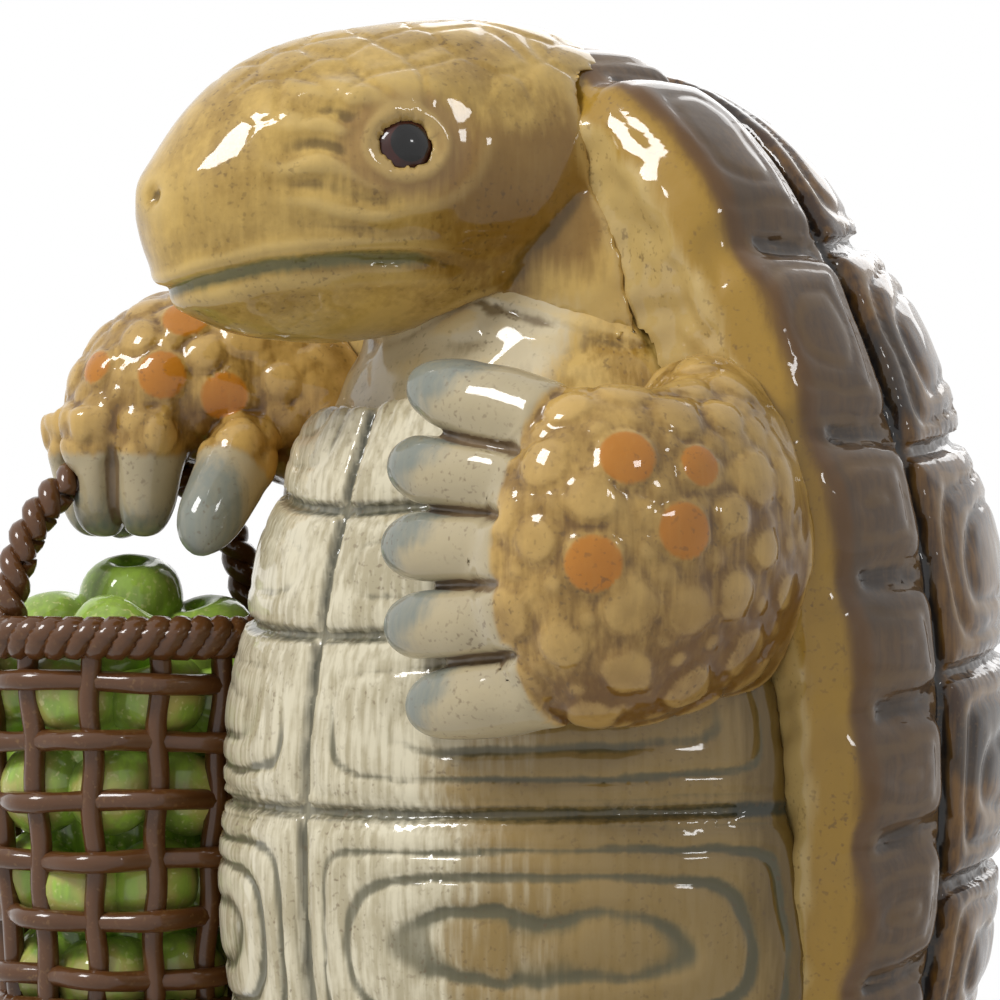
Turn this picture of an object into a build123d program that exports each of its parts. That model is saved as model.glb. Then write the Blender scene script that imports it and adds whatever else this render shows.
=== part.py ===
"""Upright tortoise figurine in slip-cast, glazed earthenware, about 90 mm tall.

The castings are drawn as they meet in the kiln: a hollow front body and a hollow back
shell joined at the rim, with the head, limbs, tail and basket luted on with slip.
Frame: +Z up, the figure faces -Y, its left side is +X, and the origin is the middle of
the flat underside of the plinth.
"""

import math
import os

from build123d import *

# Plinth
plinth_width = 56.0
plinth_depth = 54.0
plinth_height = 6.0
plinth_slope = 2.5
plinth_edge_radius = 1.6
vent_radius = 2.5
vent_forward = 3.0

# Body casting, a round egg that the back shell cuts into and the plinth carries
body_height = 80.0
body_radius = 20.5
body_drop = 38.0
body_top_round = 11.0
body_bottom_round = 11.5
body_sink = 4.0
body_centre_y = -2.5
wall = 3.0

# Belly plate
belly_plate_thickness = 1.2
seam_depth = 0.6
seam_width = 0.8

# Back shell, half of a longer egg, with a lip that stands in front of its rim plane
shell_radius = 24.5
shell_rise = 36.0
shell_drop = 39.4
shell_top_round = 19.5
shell_bottom_round = 19.0
shell_centre_z = 49.9
shell_rim_y = -3.5
shell_tilt_degrees = 6.0
shell_lip = 3.2
lip_radius = 2.2
scute_raise = 0.9
scute_gap = 1.1
edge_scute_width = 6.0

# Head and neck
head_length = 31.5
head_half_width = 9.8
head_rise = 9.4
head_drop = 8.8
head_yaw_degrees = 20.0
head_pitch_degrees = 8.0
neck_half_width = 10.8
neck_half_depth = 8.2
eye_radius = 1.8
eye_bulge = 0.8
eye_seat_depth = 1.0
eye_lift_degrees = 12.0
mouth_width = 0.5
mouth_depth = 0.5

# Forelimbs, with the toes and claws cast on
left_forelimb_half_thickness = 5.6
left_forelimb_half_height = 9.2
right_forelimb_half_thickness = 6.2
right_forelimb_half_height = 5.6
left_toe_radius = 2.4
left_claw_length = 9.4
right_toe_radius = 2.3
right_claw_length = 7.6

# Hind limbs and tail
hind_limb_radius = 6.6
hind_toe_radius = 2.1
hind_claw_length = 5.6
tail_radius = 3.6

# Basket of fruit
basket_height = 25.0
basket_foot_radius = 7.4
basket_rim_radius = 9.8
basket_band_height = 2.0
basket_band_thickness = 0.9
basket_fill_recess = 1.6
basket_load_inset = 1.5
strand_width = 1.2
strand_proud = 0.3
fruit_radius = 3.6
fruit_top_rise = 1.2
fruit_gap = 0.2
handle_width = 2.6
handle_thickness = 1.6
handle_rise = 10.5

# Shares of an oval's full size at stations along its length
HEAD_SHARES = (
    # along, half width, rise, drop, lift of the middle line
    (0.03, 0.42, 0.40, 0.42, 0.0),
    (0.11, 0.73, 0.70, 0.72, 0.0),
    (0.25, 0.94, 0.91, 0.92, 0.0),
    (0.42, 1.00, 1.00, 1.00, 0.0),
    (0.58, 0.98, 1.00, 1.00, 0.0),
    (0.71, 0.90, 0.94, 0.97, 0.0),
    (0.82, 0.77, 0.80, 0.87, -0.01),
    (0.91, 0.59, 0.58, 0.70, -0.03),
    (0.97, 0.38, 0.34, 0.46, -0.05),
)
HEAD_TIP_LIFT_SHARE = -0.08
CLAW_SHARES = (
    # along, half width
    (0.0, 0.92),
    (0.40, 1.0),
    (0.74, 0.86),
    (0.92, 0.62),
    (1.0, 0.38),
)
CLAW_SIDES = 8

# Shares of the body's radius, twice, and of its height that place what it carries
HEAD_ROOT_SHARE = (0.137, -0.11, 0.99)
NECK_SHARES = (
    # across, forward, height, size
    (0.03, 0.11, 0.74, 1.08),
    (0.03, 0.11, 0.83, 1.16),
    (0.02, 0.13, 0.91, 1.10),
    (0.0, 0.18, 0.97, 0.88),
)
LEFT_FORELIMB_SHARES = (
    # across, forward, height, half height, half thickness
    (0.80, 0.16, 0.725, 0.92, 0.92),
    (0.97, 0.42, 0.705, 0.98, 1.0),
    (0.99, 0.69, 0.695, 1.0, 1.0),
    (0.90, 0.86, 0.690, 0.98, 0.95),
    (0.84, 0.915, 0.688, 0.84, 0.76),
    (0.79, 0.95, 0.688, 0.0, 0.0),
)
LEFT_CLAW_SHARES = (
    # across, forward and height of the root, then the way it points
    (0.870, 0.880, 0.785, -0.86, -0.24, 0.22),
    (0.840, 0.915, 0.744, -0.93, -0.26, 0.11),
    (0.825, 0.925, 0.698, -0.96, -0.26, 0.02),
    (0.835, 0.920, 0.650, -0.95, -0.26, -0.06),
    (0.870, 0.880, 0.602, -0.90, -0.24, -0.12),
)
RIGHT_FORELIMB_SHARES = (
    # across, forward, height, half thickness, half height
    (-0.829, 0.171, 0.79, 0.95, 0.95),
    (-1.000, 0.356, 0.819, 1.0, 1.0),
    (-1.146, 0.537, 0.825, 1.0, 1.0),
    (-1.244, 0.659, 0.805, 1.0, 0.95),
    (-1.268, 0.707, 0.779, 0.84, 0.80),
    (-1.278, 0.722, 0.760, 0.0, 0.0),
)
RIGHT_CLAW_SHARES = (
    (-1.440, 0.690, 0.800, 0.22, 0.06, -0.96),
    (-1.380, 0.840, 0.802, 0.12, 0.14, -0.97),
    (-1.210, 0.885, 0.802, -0.04, 0.12, -0.98),
    (-1.060, 0.800, 0.802, -0.16, 0.04, -0.98),
)
HIND_LIMB_SHARES = (
    # across, forward, height, half size across and along the sole
    (0.390, 0.220, 0.26, 1.0, 1.0),
    (0.537, 0.366, 0.19, 1.04, 1.04),
    (0.634, 0.488, 0.125, 0.98, 0.96),
    (0.673, 0.561, 0.075, 0.90, 0.88),
    (0.678, 0.576, 0.02, 0.86, 0.84),
    (0.678, 0.576, -0.01, 0.0, 0.0),
)
HIND_CLAW_SHARES = (
    (0.512, 0.740, 0.078, -0.20, -1.0, -0.10),
    (0.629, 0.780, 0.079, -0.05, -1.0, -0.10),
    (0.748, 0.770, 0.079, 0.12, -1.0, -0.10),
    (0.858, 0.700, 0.078, 0.32, -1.0, -0.10),
)
TAIL_SHARES = (
    # across, forward, height, half width, half height
    (0.0, -0.50, 0.120, 1.0, 1.0),
    (0.0, -0.70, 0.100, 0.88, 0.80),
    (0.0, -0.88, 0.083, 0.66, 0.56),
    (0.0, -1.00, 0.072, 0.42, 0.34),
    (0.0, -1.07, 0.068, 0.0, 0.0),
)
BASKET_CENTRE_SHARE = (-1.268, 0.717, 0.3275)

# Shares of the body's radius and height for outlines drawn from the front
PLATE_SHARES = (
    (0.0, 0.800),
    (0.28, 0.795),
    (0.52, 0.760),
    (0.76, 0.700),
    (1.02, 0.620),
    (1.16, 0.500),
    (1.06, 0.370),
    (0.80, 0.290),
    (0.50, 0.240),
    (0.34, 0.170),
    (0.22, 0.105),
    (0.0, 0.085),
)
SEAM_SHARES = (
    # height at the edge and at the midline
    (0.77, 0.725),
    (0.66, 0.635),
    (0.515, 0.510),
    (0.335, 0.320),
    (0.215, 0.195),
)

# Shares of the shell's radius and rise, drawn square to the rim plane
SPINE_SHARES = (
    # across, up: the zigzag edge of the middle row of scutes
    (0.23, 0.83),
    (0.36, 0.68),
    (0.23, 0.53),
    (0.38, 0.35),
    (0.24, 0.17),
    (0.38, 0.0),
    (0.24, -0.17),
    (0.36, -0.34),
    (0.22, -0.50),
    (0.33, -0.65),
    (0.20, -0.80),
)
EDGE_SCUTE_ANGLES = (12, 36, 58, 76, 93, 110, 127, 147, 170)

# Shares of the head's length and drop for the line of the mouth, seen from its side
MOUTH_SHARES = (
    (1.02, -0.58),
    (0.95, -0.47),
    (0.84, -0.42),
    (0.70, -0.44),
    (0.58, -0.50),
    (0.48, -0.60),
)
EYE_SHARE = (0.575, 0.22, 0.90)
FRUIT_RING_COUNT = 4
STAKE_COUNT = 14
WEAVER_COUNT = 6

body_bottom = plinth_height - body_sink
reach = 2 * (body_height + shell_radius)
body_plane = Plane(
    origin=(0, body_centre_y, body_bottom + body_drop), x_dir=(1, 0, 0), z_dir=(0, -1, 0)
)
tilt = math.radians(shell_tilt_degrees)
rim_plane = Plane(
    origin=(0, shell_rim_y, shell_centre_z),
    x_dir=(1, 0, 0),
    z_dir=(0, -math.cos(tilt), -math.sin(tilt)),
)
front_plane = body_plane.offset(reach / 2)


def half_egg(plane, radius, rise, drop, top_round, bottom_round):
    """Half of an egg's section, out from the plane's y axis, in four tangent arcs."""
    with BuildSketch(plane, mode=Mode.PRIVATE) as section:
        with BuildLine():
            for up, height, cap in ((1, rise, top_round), (-1, drop, bottom_round)):
                centre = height - cap
                flank = (radius**2 + centre**2 - cap**2) / (2 * (radius - cap))
                turn = math.degrees(math.atan2(centre, flank - radius))
                CenterArc((radius - flank, 0), flank, 0, up * turn)
                CenterArc((0, up * centre), cap, up * turn, up * (90 - turn))
            Line((0, rise), (0, -drop))
        make_face()
    return section.sketch


def body_egg(outward):
    """The body's egg, grown outward by a length, or shrunk where it is negative."""
    section = half_egg(
        body_plane,
        body_radius + outward,
        body_height - body_drop + outward,
        body_drop + outward,
        body_top_round + outward,
        body_bottom_round + outward,
    )
    with BuildPart(mode=Mode.PRIVATE) as egg:
        revolve(section, axis=Axis(body_plane.origin, body_plane.y_dir))
    return egg.part


def shell_section(outward):
    """Half of the shell's outline in its rim plane, grown outward by a length."""
    return half_egg(
        rim_plane,
        shell_radius + outward,
        shell_rise + outward,
        shell_drop + outward,
        shell_top_round + outward,
        shell_bottom_round + outward,
    )


def shell_dome(outward):
    """The solid dome behind the rim plane, grown outward by a length."""
    with BuildPart(mode=Mode.PRIVATE) as dome:
        revolve(
            shell_section(outward),
            axis=Axis(rim_plane.origin, rim_plane.y_dir),
            revolution_arc=180,
        )
    return dome.part


def oval(plane, half_width, rise, drop):
    """A closed oval with one half width and its own height above and below."""
    with BuildSketch(plane, mode=Mode.PRIVATE) as section:
        with BuildLine():
            EllipticalCenterArc((0, 0), half_width, rise, start_angle=0, arc_size=180)
            EllipticalCenterArc((0, 0), half_width, drop, start_angle=180, arc_size=180)
        make_face()
    return section.sketch


def body_point(across_share, forward_share, height_share):
    """A point placed by shares of the body's radius, twice, and of its height."""
    return Vector(
        across_share * body_radius,
        body_centre_y - forward_share * body_radius,
        body_bottom + height_share * body_height,
    )


def section_plane(origin, tangent, reference):
    """A plane square to the tangent, whose x axis leans along the reference vector."""
    tangent = tangent.normalized()
    across = reference - tangent * reference.dot(tangent)
    return Plane(origin=origin, x_dir=across, z_dir=tangent)


def limb(stations, half_width, half_height, reference):
    """A limb lofted along its stations and closed to a rounded tip at the last one."""
    points = [body_point(*station[:3]) for station in stations]
    sections = []
    for index, (width_share, height_share) in enumerate(s[3:] for s in stations[:-1]):
        before = points[max(index - 1, 0)]
        after = points[index + 1]
        height = height_share * half_height
        sections.append(
            oval(
                section_plane(points[index], after - before, reference),
                width_share * half_width,
                height,
                height,
            )
        )
    with BuildPart(mode=Mode.PRIVATE) as solid:
        loft([*sections, Vertex(*points[-1])])
    return solid.part


def toes(rows, toe_radius, length):
    """All the toes of one foot, each faceted from its knuckle to a blunt claw."""
    solids = []
    for across, forward, height, *direction in rows:
        root = body_point(across, forward, height)
        knuckle = section_plane(root, Vector(*direction), Vector(0, 0, 1))
        with BuildPart(mode=Mode.PRIVATE) as toe:
            for along, size in CLAW_SHARES:
                with BuildSketch(knuckle.offset(along * length)):
                    RegularPolygon(size * toe_radius, CLAW_SIDES)
            loft(ruled=True)
        solids.append(toe.part)
    return solids


# The back shell takes what lies behind the rim plane, and the front body the rest
body_outer = body_egg(0)
body_inner = body_egg(-wall)
body_front = body_outer - shell_dome(scute_raise)
with BuildPart(mode=Mode.PRIVATE) as shell_form:
    add(shell_dome(scute_raise))
    outline = shell_section(scute_raise)
    extrude(outline + mirror(outline, about=Plane.YZ), amount=shell_lip)
    fillet(shell_form.faces().sort_by(Axis.Y)[0].outer_wire().edges(), lip_radius)
with BuildPart(mode=Mode.PRIVATE) as shell_cavity:
    add(shell_dome(-wall))
    split(bisect_by=rim_plane.offset(-wall), keep=Keep.BOTTOM)
with BuildPart(mode=Mode.PRIVATE) as above_plinth:
    with BuildSketch(Plane.XY.offset(plinth_height)):
        Rectangle(reach, reach)
    extrude(amount=reach)

# Plinth: a low oval mound with a flat glazed underside and a vent for the kiln
with BuildPart() as plinth:
    with BuildSketch():
        Ellipse(plinth_width / 2, plinth_depth / 2)
    with BuildSketch(Plane.XY.offset(plinth_height)):
        Ellipse(plinth_width / 2 - plinth_slope, plinth_depth / 2 - plinth_slope)
    loft()
    fillet(plinth.edges().group_by(Axis.Z)[-1], plinth_edge_radius)
    with Locations((0, -vent_forward)):
        Hole(vent_radius)
plinth.part.label = "plinth"

# Front body: a hollow egg, open at the back, that stands on the plinth
with BuildPart() as body:
    add(body_front & above_plinth.part)
    add(body_inner, mode=Mode.SUBTRACT)
    with Locations((0, -vent_forward, plinth_height)):
        Cylinder(vent_radius, 2 * wall, mode=Mode.SUBTRACT)
body.part.label = "body"

# Belly plate: raised scutes on the front of the body, parted by brushed seams
plate_outline = [
    (side * across * body_radius, height * body_height - body_drop)
    for side, shares in ((1, PLATE_SHARES), (-1, PLATE_SHARES[-2:0:-1]))
    for across, height in shares
]
with BuildPart(mode=Mode.PRIVATE) as plate_blank:
    with BuildSketch(front_plane):
        with BuildLine():
            Spline(*plate_outline, periodic=True)
        make_face()
    extrude(amount=-reach / 2)
    add(body_egg(belly_plate_thickness), mode=Mode.INTERSECT)
    add([body_outer, shell_form.part], mode=Mode.SUBTRACT)
with BuildPart(mode=Mode.PRIVATE) as plate_seams:
    with BuildSketch(front_plane):
        with BuildLine():
            Line((0, -body_drop), (0, body_height - body_drop))
            for edge, middle in SEAM_SHARES:
                ThreePointArc(
                    (-body_radius, edge * body_height - body_drop),
                    (0, middle * body_height - body_drop),
                    (body_radius, edge * body_height - body_drop),
                )
        trace(line_width=seam_width)
    extrude(amount=-reach / 2)
    add(body_egg(belly_plate_thickness - seam_depth), mode=Mode.SUBTRACT)
with BuildPart() as belly_plate:
    add(plate_blank.part)
    add(plate_seams.part, mode=Mode.SUBTRACT)
belly_plate.part.label = "belly_plate"

# Back shell: a hollow dome with a rounded lip, its scutes parted by grooves
with BuildPart(mode=Mode.PRIVATE) as grooves:
    with BuildSketch(rim_plane.offset(-edge_scute_width - scute_gap)):
        for side in (1, -1):
            corners = [
                (side * across * shell_radius, up * shell_rise)
                for across, up in SPINE_SHARES
            ]
            with BuildLine():
                Polyline(*corners)
                for across, up in corners[0::2]:
                    Line((0, up), (across, up))
                for across, up in corners[1::2]:
                    Line((across, up), (side * shell_radius, up))
            trace(line_width=scute_gap)
    extrude(amount=-shell_radius)
    with BuildSketch(rim_plane):
        for degrees in EDGE_SCUTE_ANGLES:
            for side in (1, -1):
                with BuildLine():
                    PolarLine((0, 0), reach, 90 - side * degrees)
                trace(line_width=scute_gap)
    extrude(amount=-edge_scute_width)
    with BuildSketch(rim_plane.offset(-edge_scute_width)):
        Rectangle(reach, reach)
    extrude(amount=-scute_gap)
    add(shell_dome(0), mode=Mode.SUBTRACT)
with BuildPart() as shell:
    add(shell_form.part)
    add([body_front, body_inner, shell_cavity.part], mode=Mode.SUBTRACT)
    add(grooves.part, mode=Mode.SUBTRACT)
shell.part.label = "shell"

# Head and neck: one casting that looks a little to its right, the eyes set in as beads
yaw = math.radians(head_yaw_degrees)
pitch = math.radians(head_pitch_degrees)
head_plane = Plane(
    origin=body_point(*HEAD_ROOT_SHARE),
    x_dir=(math.cos(yaw), -math.sin(yaw), 0),
    z_dir=(
        -math.sin(yaw) * math.cos(pitch),
        -math.cos(yaw) * math.cos(pitch),
        -math.sin(pitch),
    ),
)
head_side_plane = Plane(
    origin=head_plane.origin, x_dir=head_plane.z_dir, z_dir=-head_plane.x_dir
)


def head_form(outward):
    """The head from the back of the skull to the beak, grown outward by a length."""
    sections = []
    for along, width, rise, drop, lift in HEAD_SHARES:
        place = head_plane.from_local_coords((0, lift * head_drop, along * head_length))
        sections.append(
            oval(
                Plane(origin=place, x_dir=head_plane.x_dir, z_dir=head_plane.z_dir),
                width * head_half_width + outward,
                rise * head_rise + outward,
                drop * head_drop + outward,
            )
        )
    back = head_plane.from_local_coords((0, 0, -outward))
    beak = head_plane.from_local_coords(
        (0, HEAD_TIP_LIFT_SHARE * head_drop, head_length + outward)
    )
    with BuildPart(mode=Mode.PRIVATE) as form:
        loft([Vertex(*back), *sections, Vertex(*beak)])
    return form.part


with BuildPart(mode=Mode.PRIVATE) as mouth:
    with BuildSketch(head_side_plane):
        with BuildLine():
            Spline(*[(x * head_length, y * head_drop) for x, y in MOUTH_SHARES])
        trace(line_width=mouth_width)
    extrude(amount=2 * head_half_width, both=True)
    add(head_form(-mouth_depth), mode=Mode.SUBTRACT)
eye_lift = math.radians(eye_lift_degrees)
eye_dome_radius = (eye_radius**2 + eye_bulge**2) / (2 * eye_bulge)
eyes = []
for side_name, side in (("left", 1), ("right", -1)):
    along, lift, aside = EYE_SHARE
    seat = Plane(
        origin=head_plane.from_local_coords(
            (side * aside * head_half_width, lift * head_rise, along * head_length)
        ),
        x_dir=head_plane.z_dir,
        z_dir=head_plane.x_dir * (side * math.cos(eye_lift))
        + head_plane.y_dir * math.sin(eye_lift),
    )
    with BuildPart() as eye:
        with Locations(seat):
            Cylinder(eye_radius, 2 * eye_seat_depth)
        with Locations(seat.offset(eye_bulge - eye_dome_radius)):
            Sphere(eye_dome_radius, mode=Mode.INTERSECT)
    eye.part.label = f"{side_name}_eye"
    eyes.append(eye.part)
neck_sections = [
    oval(
        Plane(origin=body_point(across, forward, height)),
        size * neck_half_width,
        size * neck_half_depth,
        size * neck_half_depth,
    )
    for across, forward, height, size in NECK_SHARES
]
with BuildPart() as head:
    loft(neck_sections)
    add(head_form(0))
    for cut in (mouth.part, *eyes, body_outer, shell_form.part, plate_blank.part):
        add(cut, mode=Mode.SUBTRACT)
head.part.label = "head"

# Basket: stakes and weavers moulded over the load, between bands at rim and foot
basket_centre = body_point(*BASKET_CENTRE_SHARE)
basket_rim_z = basket_centre.Z + basket_height
fill_radius = basket_rim_radius - basket_load_inset
fill_height = basket_height - basket_fill_recess


def basket_side(rise, outward):
    """A point of the basket's tapered side, beside its axis."""
    taper = (basket_rim_radius - basket_foot_radius) / basket_height
    return (basket_foot_radius + taper * rise + outward, rise)


bands = [
    (0, basket_band_height, basket_band_thickness),
    *(
        (rise - strand_width / 2, rise + strand_width / 2, strand_proud)
        for rise in (
            basket_height * (index + 1) / (WEAVER_COUNT + 1) for index in range(WEAVER_COUNT)
        )
    ),
    (basket_height - basket_band_height, basket_height, basket_band_thickness),
]
basket_outline = [(0, 0)]
for low, high, proud in bands:
    basket_outline += [
        basket_side(low, -basket_load_inset),
        basket_side(low, proud),
        basket_side(high, proud),
        basket_side(high, -basket_load_inset),
    ]
basket_outline = basket_outline[:1] + basket_outline[2:]
with BuildPart(mode=Mode.PRIVATE) as stake:
    with BuildSketch(Plane.XZ):
        Polygon(
            basket_side(0, -basket_load_inset - strand_width),
            basket_side(0, 0),
            basket_side(basket_height, 0),
            basket_side(basket_height, -strand_width),
            align=None,
        )
    extrude(amount=strand_width / 2, both=True)
with BuildPart() as basket:
    with BuildSketch(Plane(origin=basket_centre, x_dir=(1, 0, 0), z_dir=(0, -1, 0))):
        with BuildLine():
            Polyline(*basket_outline, (fill_radius, fill_height), (0, fill_height), close=True)
        make_face()
    revolve(axis=Axis(basket_centre, (0, 0, 1)))
    with Locations(basket_centre):
        with PolarLocations(0, STAKE_COUNT):
            add(stake.part)
    for neighbour in (body_outer, shell_form.part, plate_blank.part):
        add(neighbour, mode=Mode.SUBTRACT)
basket.part.label = "basket"

# Handle: a flat strap bent to an arch, its feet on the rim
handle_plane = Plane(origin=basket_centre, x_dir=(0, 1, 0), z_dir=(1, 0, 0))
with BuildPart() as basket_handle:
    with BuildSketch(handle_plane):
        with BuildLine():
            outer = EllipticalCenterArc(
                (0, basket_height), basket_rim_radius, handle_rise, start_angle=0, arc_size=180
            )
            inner = EllipticalCenterArc(
                (0, basket_height),
                basket_rim_radius - handle_thickness,
                handle_rise - handle_thickness,
                start_angle=0,
                arc_size=180,
            )
            Line(outer @ 0, inner @ 0)
            Line(outer @ 1, inner @ 1)
        make_face()
    extrude(amount=handle_width / 2, both=True)
    for neighbour in (body_outer, shell_form.part):
        add(neighbour, mode=Mode.SUBTRACT)
basket_handle.part.label = "basket_handle"

# Fruit: one moulded heap, a ring of apples half sunk in the basket and one on top
fruit_ring_radius = fill_radius - fruit_radius - fruit_gap
fill_z = basket_centre.Z + fill_height
with BuildPart() as fruit:
    with Locations((basket_centre.X, basket_centre.Y, fill_z)):
        with PolarLocations(fruit_ring_radius, FRUIT_RING_COUNT):
            Sphere(fruit_radius)
    with Locations((basket_centre.X, basket_centre.Y, basket_rim_z + fruit_top_rise)):
        Sphere(fruit_radius)
    split(bisect_by=Plane.XY.offset(fill_z), keep=Keep.TOP)
fruit.part.label = "fruit"

# Forelimbs: bent arms, the left across the chest, the right over the basket's handle
with BuildPart() as left_forelimb:
    add(
        limb(
            LEFT_FORELIMB_SHARES,
            left_forelimb_half_height,
            left_forelimb_half_thickness,
            Vector(0, 0, 1),
        )
    )
    add(toes(LEFT_CLAW_SHARES, left_toe_radius, left_claw_length))
    for neighbour in (body_outer, shell_form.part, plate_blank.part):
        add(neighbour, mode=Mode.SUBTRACT)
left_forelimb.part.label = "left_forelimb"
with BuildPart() as right_forelimb:
    add(
        limb(
            RIGHT_FORELIMB_SHARES,
            right_forelimb_half_thickness,
            right_forelimb_half_height,
            Vector(1, -1, 0),
        )
    )
    add(toes(RIGHT_CLAW_SHARES, right_toe_radius, right_claw_length))
    for neighbour in (body_outer, shell_form.part, plate_blank.part, basket_handle.part):
        add(neighbour, mode=Mode.SUBTRACT)
right_forelimb.part.label = "right_forelimb"

# Hind limbs: short columns with flat soles on the plinth
with BuildPart() as left_hind_limb:
    add(limb(HIND_LIMB_SHARES, hind_limb_radius, hind_limb_radius, Vector(1, 0, 0)))
    add(toes(HIND_CLAW_SHARES, hind_toe_radius, hind_claw_length))
    add(above_plinth.part, mode=Mode.INTERSECT)
    for neighbour in (body_outer, shell_form.part, plate_blank.part):
        add(neighbour, mode=Mode.SUBTRACT)
left_hind_limb.part.label = "left_hind_limb"
with BuildPart() as right_hind_limb:
    add(mirror(left_hind_limb.part, about=Plane.YZ))
right_hind_limb.part.label = "right_hind_limb"

# Tail: a short taper below the back shell
with BuildPart() as tail:
    add(limb(TAIL_SHARES, tail_radius, tail_radius, Vector(1, 0, 0)))
    for neighbour in (body_outer, shell_form.part, plinth.part):
        add(neighbour, mode=Mode.SUBTRACT)
tail.part.label = "tail"

os.makedirs("parts", exist_ok=True)
for piece in (
    plinth.part,
    body.part,
    belly_plate.part,
    shell.part,
    head.part,
    *eyes,
    left_forelimb.part,
    right_forelimb.part,
    left_hind_limb.part,
    right_hind_limb.part,
    tail.part,
    basket.part,
    basket_handle.part,
    fruit.part,
):
    export_step(piece, f"parts/{piece.label}.step")
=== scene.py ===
"""Upright tortoise figurine in slip-cast earthenware, painted in underglaze colours under a
clear glossy glaze. The sections follow the order in which the castings are put together."""
import math

import bmesh
import bpy
import numpy as np
from mathutils import Matrix, Vector, kdtree, noise
from mathutils.bvhtree import BVHTree


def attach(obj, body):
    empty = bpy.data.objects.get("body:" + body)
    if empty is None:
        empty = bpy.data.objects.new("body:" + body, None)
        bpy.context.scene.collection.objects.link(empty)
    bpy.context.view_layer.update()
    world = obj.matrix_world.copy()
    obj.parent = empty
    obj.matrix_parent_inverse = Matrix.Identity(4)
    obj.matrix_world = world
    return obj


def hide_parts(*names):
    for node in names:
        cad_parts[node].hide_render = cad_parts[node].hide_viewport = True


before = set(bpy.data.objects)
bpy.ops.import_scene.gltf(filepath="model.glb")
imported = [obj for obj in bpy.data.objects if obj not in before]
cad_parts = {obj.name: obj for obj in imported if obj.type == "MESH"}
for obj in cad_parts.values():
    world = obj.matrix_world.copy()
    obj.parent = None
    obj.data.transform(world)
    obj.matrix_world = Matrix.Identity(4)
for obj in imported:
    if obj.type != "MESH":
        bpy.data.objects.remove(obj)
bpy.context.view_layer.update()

# Plinth
# A low oval mound, press-moulded with a slightly uneven top, that the body is luted to.
# Its glaze runs thin and brown over the edge and gathers at the foot.
MM = 0.001
DENT_SIZE, DENT_HEIGHT = 5.0, 0.25
PRESS_SIZE, PRESS_HEIGHT = 1.8, 0.12
FOOT_FROM, FOOT_TO = 0.3, 2.2


def casting(name, grain, passes=5, lumps=()):
    """A node's skin on an even net of faces, grain mm wide, its edges softened as in a mould.
    lumps: (middle, way, half length, half width) of oval lumps of clay pressed on before."""
    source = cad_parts[name]
    mesh = source.data.copy()
    mesh.transform(source.matrix_world)
    net = bmesh.new()
    net.from_mesh(mesh)
    for middle, way, length, width in lumps:
        turn = Vector(way).to_track_quat("Z", "Y").to_matrix().to_4x4()
        place = Matrix.Translation(Vector(middle) * MM) @ turn
        bmesh.ops.create_uvsphere(net, u_segments=24, v_segments=16, radius=MM,
                                  matrix=place @ Matrix.Diagonal((width, width, length, 1)))
    net.to_mesh(mesh)
    net.free()
    piece = bpy.data.objects.new(f"{name}_casting", mesh)
    bpy.context.collection.objects.link(piece)
    even = piece.modifiers.new("even", "REMESH")
    even.mode = "VOXEL"
    even.voxel_size = grain * MM
    even.use_smooth_shade = True
    soft = piece.modifiers.new("soft", "SMOOTH")
    soft.factor = 0.5
    soft.iterations = passes
    evaluated = piece.evaluated_get(bpy.context.evaluated_depsgraph_get())
    made = bpy.data.meshes.new_from_object(evaluated)
    piece.modifiers.clear()
    piece.data = made
    made.materials.clear()
    return piece


def skin(piece):
    """The piece's points in mm and its outward directions."""
    mesh = piece.data
    points = np.empty(3 * len(mesh.vertices))
    mesh.vertices.foreach_get("co", points)
    outward = np.empty(3 * len(mesh.vertices))
    mesh.vertex_normals.foreach_get("vector", outward)
    return points.reshape(-1, 3) / MM, outward.reshape(-1, 3)


def model(piece, height):
    """Adds or carves clay: moves each point outward by its height in mm."""
    points, outward = skin(piece)
    piece.data.vertices.foreach_set("co", ((points + outward * height[:, None]) * MM).ravel())
    piece.data.update()


def mark(piece, name, values):
    """Keeps one number per point for the painting to read."""
    layers = piece.data.attributes
    layer = layers.get(name) or layers.new(name, "FLOAT", "POINT")
    layer.data.foreach_set("value", np.asarray(values, dtype=np.float32))


def ripple(points, size, shift=0.0):
    """Soft random waves between -1 and 1, size mm across."""
    return np.array([noise.noise(p) for p in (points / size + shift).tolist()])


def ramp(value, low, high):
    """0 below low, 1 above high, with an eased slope between."""
    share = np.clip((value - low) / (high - low), 0, 1)
    return share * share * (3 - 2 * share)


def evened(piece, values, rounds):
    """Values averaged with their neighbours' over the piece's surface."""
    edges = np.empty(2 * len(piece.data.edges), dtype=np.int64)
    piece.data.edges.foreach_get("vertices", edges)
    start, end = edges.reshape(-1, 2).T
    count = len(piece.data.vertices)
    shares = np.maximum(np.bincount(start, minlength=count) + np.bincount(end, minlength=count), 1)
    for _ in range(rounds):
        total = np.bincount(start, values[end], count) + np.bincount(end, values[start], count)
        values = total / shares
    return values


def sunk(piece, rounds):
    """How far in mm each point lies under the surface evened out around it."""
    points, outward = skin(piece)
    middle = np.column_stack([evened(piece, points[:, axis], rounds) for axis in range(3)])
    return ((middle - points) * outward).sum(axis=1)


def mark_hollows(piece, reach=14, depth=0.10):
    """Marks where liquid glaze gathers, 1 in creases, and where it runs thin, 1 on crests."""
    under = evened(piece, sunk(piece, reach), 1)
    mark(piece, "hollow", np.clip(under / depth, 0, 1))
    mark(piece, "crest", np.clip(-under / depth, 0, 1))


def linear(code):
    """An sRGB hex colour as linear red, green, blue and alpha."""
    shares = [int(code[i:i + 2], 16) / 255 for i in (1, 3, 5)]
    return (*[s / 12.92 if s <= 0.04045 else ((s + 0.055) / 1.055) ** 2.4 for s in shares], 1.0)


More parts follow.
